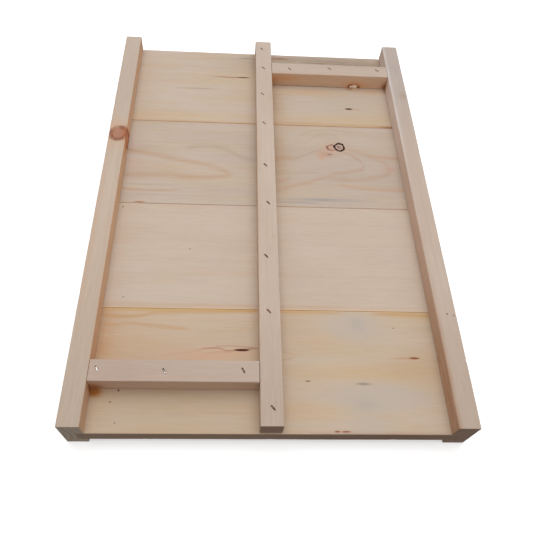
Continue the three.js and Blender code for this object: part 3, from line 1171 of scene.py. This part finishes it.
# Where a pattern's value begins and ends to count, and the amounts it gives there.
CLOUD_TINT = (0.35, 0.7, 0.0, 0.7)
BAND_TINT = (0.42, 0.72, 0.0, 0.3)
PATCH_TINT = (0.5, 0.75, 0.0, 0.3)
SAP_TINT = (0.38, 0.62)
STREAK_AMOUNT = (0.3, 0.7, 0.62, 1.12)
FIBRE_SHADE = (0.2, 0.8, 0.95, 1.045)
FLECK_SHADE = (0.25, 0.75, 0.97, 1.025)
PORE_SHADE = (0.72, 0.8, 0.0, 0.35)
SPECKLE_SHADE = (0.35, 0.75, 0.0, 0.4)
CLOUD_ROUGHNESS = (0.3, 0.7, 0.5, 0.62)
UPRIGHT_FACE = (0.5, 0.9)
END_FACE = (0.6, 0.85)

COOL_WOOD = (0.995, 1.01, 1.1, 1)
WARM_WOOD = (1.0, 0.985, 0.89, 1)
PORE_BROWN = seen((150, 112, 84))
END_GRAIN_DARK = seen((150, 122, 98))
END_SPECKLE = seen((128, 100, 78))
SPECKLE_LAYER = 12
SPECKLE = (1.9, 3.0, 0.7)
END_SHARE = 0.8
LATE_AT_END = 0.6
FIBRE_HEIGHT = 0.5
LATE_HEIGHT = 0.35
PORE_HEIGHT = -0.5
END_HEIGHT = 1.2
LATE_GLOSS = 0.1
KNOT_GLOSS = 0.14
FIBRE_ROUGHNESS = 0.12
WOOD_BUMP = {"Strength": 0.55, "Distance": 0.16 * MM}
WOOD_SPECULAR = 0.12


def plain_wood(graph, board, place, slight, late):
    cloud = grain_noise(graph, board, place, CLOUD)[0]
    band = grain_noise(graph, board, slight, BAND)[0]
    patch = grain_noise(graph, board, slight, PATCH)[0]
    late_colour = seen(board.late)
    tinted = graph.mix(graph.ramp(cloud, *CLOUD_TINT), seen(board.pale), seen(board.tint))
    tinted = graph.mix(graph.ramp(band, *BAND_TINT), tinted, late_colour)
    tinted = graph.mix(graph.ramp(patch, *PATCH_TINT), tinted, late_colour)
    colour = graph.mix(graph.times(late, board.contrast), tinted, late_colour)
    if board.sap > 0:
        sap = graph.ramp(grain_noise(graph, board, slight, SAP)[0], *SAP_TINT)
        colour = graph.mix(board.sap, colour, graph.mix(sap, COOL_WOOD, WARM_WOOD), "MULTIPLY")
    return colour, cloud


def sawn_faces(graph, board, place, normal, late, colour, height):
    """Tints the upright sides with painted bounce light and shade, and gives the ends their darker, speckled
    end grain.
    """
    facing = graph.add("ShaderNodeSeparateXYZ", {0: normal}).outputs
    upright = graph.ramp(graph.math("ABSOLUTE", facing[across_of(board)]), *UPRIGHT_FACE)
    # painted light and shade: the board's side tint on its upright faces
    colour = graph.mix(upright, colour, graph.mix(1.0, colour, (*board.side, 1.0), "MULTIPLY"))
    end = graph.ramp(graph.math("ABSOLUTE", facing[board.grain]), *END_FACE)
    # the sawn ends' colour, set per board, is partly painted light and shade
    end_colour = graph.mix(graph.times(late, LATE_AT_END), seen(board.end), END_GRAIN_DARK)
    speckle = graph.even_noise(place, board.seed + SPECKLE_LAYER, *SPECKLE)[0]
    end_colour = graph.mix(graph.ramp(speckle, *SPECKLE_SHADE), end_colour, END_SPECKLE)
    colour = graph.mix(graph.times(end, END_SHARE), colour, end_colour)
    return colour, graph.plus(height, graph.times(end, speckle, END_HEIGHT))


def pine_material(board):
    material = bpy.data.materials.new(f"pine_{board.node}")
    graph = Graph(material)
    place, wavy, slight, normal = board_place(graph, board)
    late = ring_share(graph, board, wavy)
    colour, cloud = plain_wood(graph, board, place, slight, late)

    streaks = graph.ramp(grain_noise(graph, board, slight, STREAK)[0], *STREAK_AMOUNT)
    # painted light and shade patches, drawn under the grain lines
    for painted_patch in board.painted_light_and_shade:
        colour = add_mark(graph, painted_patch, slight, streaks, colour)
    for line in board.lines:
        colour = add_line(graph, board, line, slight, streaks, colour)

    fibre = grain_noise(graph, board, slight, FIBRE)[0]
    fleck = grain_noise(graph, board, slight, FLECK)[0]
    shade_of = graph.times(graph.ramp(fibre, *FIBRE_SHADE), graph.ramp(fleck, *FLECK_SHADE))
    grey = graph.add("ShaderNodeCombineColor", {0: shade_of, 1: shade_of, 2: shade_of}).outputs[0]
    colour = graph.mix(1.0, colour, grey, "MULTIPLY")
    pore = graph.ramp(grain_noise(graph, board, slight, PORE)[0], *PORE_SHADE)
    colour = graph.mix(pore, colour, PORE_BROWN)

    height = graph.plus(graph.times(fibre, FIBRE_HEIGHT), graph.times(late, LATE_HEIGHT))
    height = graph.plus(height, graph.times(pore, PORE_HEIGHT))
    gloss = graph.times(late, LATE_GLOSS)
    for knot in board.knots:
        colour, height, inside = add_knot(graph, board, knot, place, colour, height)
        gloss = graph.plus(gloss, graph.times(inside, KNOT_GLOSS))
    for mark in board.marks:
        colour = add_mark(graph, mark, slight, streaks, colour)
    if board.node not in PLANKS:
        # staple slots: crushed wood, with painted shade down in each slot
        for name in staples_in(board):
            colour = add_bruise_and_shade(graph, name, place, colour)
    colour, height = sawn_faces(graph, board, place, normal, late, colour, height)

    bump = graph.add("ShaderNodeBump", {**WOOD_BUMP, "Height": height}).outputs[0]
    uneven = graph.math("SUBTRACT", graph.ramp(cloud, *CLOUD_ROUGHNESS), gloss)
    roughness = graph.plus(uneven, graph.times(fibre, FIBRE_ROUGHNESS))
    surface = {"Base Color": colour, "Roughness": roughness, "Normal": bump}
    graph.surface("ShaderNodeBsdfPrincipled", {**surface, "Specular IOR Level": WOOD_SPECULAR})
    return material


DRAWN = (5.0, 1.3)
DRAWN_ROUGHNESS = (0.3, 0.7, 0.36, 0.6)
DULL = (8.0, 0.23, 2.0)
DULL_SHARE = (0.36, 0.5)
STEEL_BUMP = {"Strength": 0.4, "Distance": 0.05 * MM}


def steel_material(name, dull_colour, bright_colour):
    material = bpy.data.materials.new(name)
    graph = Graph(material)
    coordinates = graph.add("ShaderNodeTexCoord").outputs["Object"]
    place = graph.vector("MULTIPLY", coordinates, (1 / MM,) * 3)
    drawn = graph.even_noise(place, *DRAWN)[0]
    dull = graph.even_noise(place, *DULL)[0]
    colour = graph.mix(graph.ramp(dull, *DULL_SHARE), dull_colour, bright_colour)
    bump = graph.add("ShaderNodeBump", {**STEEL_BUMP, "Height": drawn}).outputs[0]
    roughness = graph.ramp(drawn, *DRAWN_ROUGHNESS)
    surface = {"Base Color": colour, "Metallic": 1.0, "Roughness": roughness, "Normal": bump}
    graph.surface("ShaderNodeBsdfPrincipled", surface)
    return material


# ---------- the object ----------

for board in BOARDS:
    piece = board_object(board)
    piece.data.materials.clear()
    piece.data.materials.append(pine_material(board))
    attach(piece, "root")
    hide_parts(board.node)

WIRE_ROUNDING = 0.18 * MM
# The staples are one steel in three copies with painted light and shade: the two near-batten staples get
# bright steel with dark patches, a painted glint and shade; the other near ones get dark red-brown steel,
# rust and painted shade in their slots; the far ones a paler grey-brown.
GLINTING_STAPLES = ["staple_near_batten_1", "staple_near_batten_2"]
glint_wire = steel_material("staple_wire_painted_glint", (0.07, 0.05, 0.04, 1), (0.8, 0.78, 0.75, 1))
rusty_shaded_wire = steel_material("staple_wire_rusty_and_shaded", (0.1, 0.045, 0.025, 1), (0.24, 0.13, 0.08, 1))
dull_wire = steel_material("staple_wire_dull", (0.3, 0.22, 0.17, 1), (0.46, 0.38, 0.32, 1))


def wire_of(name):
    if name in GLINTING_STAPLES:
        return glint_wire
    return dull_wire if box_mm(name)[0].y > FAR_STAPLES else rusty_shaded_wire


for name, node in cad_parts.items():
    if name.startswith("staple_"):
        node.data.materials.clear()
        node.data.materials.append(wire_of(name))
        rounded = node.modifiers.new("rounded_wire", "BEVEL")
        rounded.width = WIRE_ROUNDING
        rounded.segments = 2


# ---------- studio ----------

KEY_PLACE = Vector((0.05, 0.22, 1.55))
KEY_SIDE = 1.5
KEY_POWER = 13.2
SKY_FRONT = 0.36
SKY_BACK = 0.6
SKY_BELOW = 0.14
HORIZON_BLUR = 0.1
FLOOR_GLOW = 0.4
FLOOR_RADIUS = 6.0
FLOOR_CLEARANCE = 0.0002
BACKDROP_RADIUS = 9.0
WHITE = (1, 1, 1, 1)
FLOOR_DULL = (0.96, 0.96, 0.96, 1)
FLOOR_BRIGHT = (0.98, 0.98, 0.98, 1)
FLOOR_CLOUD = (2.0, 1.5)


def floor_material():
    material = bpy.data.materials.new("pale_floor")
    graph = Graph(material)
    place = graph.add("ShaderNodeTexCoord").outputs["Object"]
    cloud = graph.even_noise(place, *FLOOR_CLOUD)[0]
    colour = graph.mix(cloud, FLOOR_DULL, FLOOR_BRIGHT)
    matt = graph.add("ShaderNodeBsdfDiffuse", {"Color": colour}).outputs[0]
    lift = graph.add("ShaderNodeEmission", {"Color": WHITE, "Strength": FLOOR_GLOW}).outputs[0]
    pale = graph.add("ShaderNodeAddShader", {0: matt, 1: lift}).outputs[0]
    clear = graph.add("ShaderNodeBsdfTransparent").outputs[0]
    back = graph.add("ShaderNodeNewGeometry").outputs["Backfacing"]
    graph.surface("ShaderNodeMixShader", {0: back, 1: pale, 2: clear})
    return material


def backdrop_material():
    material = bpy.data.materials.new("pale_backdrop")
    graph = Graph(material)
    graph.surface("ShaderNodeEmission", {"Color": WHITE, "Strength": 1.0})
    return material


bm = bmesh.new()
bmesh.ops.create_circle(bm, cap_ends=True, segments=96, radius=FLOOR_RADIUS)
bmesh.ops.translate(bm, verts=bm.verts, vec=(0, 0, -FLOOR_CLEARANCE))
ground = mesh_object("studio_floor", bm)
if ground.data.polygons[0].normal.z < 0:
    ground.data.flip_normals()
ground.data.materials.append(floor_material())

bm = bmesh.new()
bmesh.ops.create_icosphere(bm, subdivisions=4, radius=BACKDROP_RADIUS)
backdrop = mesh_object("studio_backdrop", bm)
backdrop.data.materials.append(backdrop_material())

for surround in (ground, backdrop):
    surround.visible_diffuse = False
    surround.visible_glossy = False
    surround.visible_shadow = False

key_data = bpy.data.lights.new("key_light", "AREA")
key_data.shape = "SQUARE"
key_data.size = KEY_SIDE
key_data.energy = KEY_POWER
key = bpy.data.objects.new("key_light", key_data)
key.location = KEY_PLACE
key.rotation_mode = "QUATERNION"
key.rotation_quaternion = (-KEY_PLACE).to_track_quat("-Z", "Y")
bpy.context.scene.collection.objects.link(key)

world = bpy.data.worlds.new("studio_sky")
sky = Graph(world)
direction = sky.add("ShaderNodeTexCoord").outputs["Generated"]
_, along_sky, up_sky = sky.add("ShaderNodeSeparateXYZ", {0: direction}).outputs
above = sky.ramp(along_sky, -1.0, 1.0, SKY_FRONT, SKY_BACK)
glow = sky.plus(SKY_BELOW, sky.times(sky.ramp(up_sky, -HORIZON_BLUR, HORIZON_BLUR), above))
background = sky.add("ShaderNodeBackground", {"Color": WHITE, "Strength": glow}).outputs[0]
sky.add("ShaderNodeOutputWorld", {"Surface": background})
bpy.context.scene.world = world
bpy.context.scene.view_settings.view_transform = "Standard"


# ---------- camera ----------

CAMERA_PLACE = Vector((-0.0441, -0.4406, 0.5756))
CAMERA_TARGET = Vector((-0.0094, -0.0960, 0.03))
CAMERA_ROLL = math.radians(6.0)

camera_data = bpy.data.cameras.new("camera")
camera_data.lens = 37.515
camera_data.shift_x = 0.01372
camera_data.shift_y = -0.00085
camera_data.clip_start = 0.01
camera_data.clip_end = 50
camera = bpy.data.objects.new("camera", camera_data)
camera.location = CAMERA_PLACE
camera.rotation_mode = "QUATERNION"
look = (CAMERA_TARGET - CAMERA_PLACE).to_track_quat("-Z", "Y")
camera.rotation_quaternion = look @ Quaternion((0, 0, 1), CAMERA_ROLL)
bpy.context.scene.collection.objects.link(camera)
bpy.context.scene.camera = camera
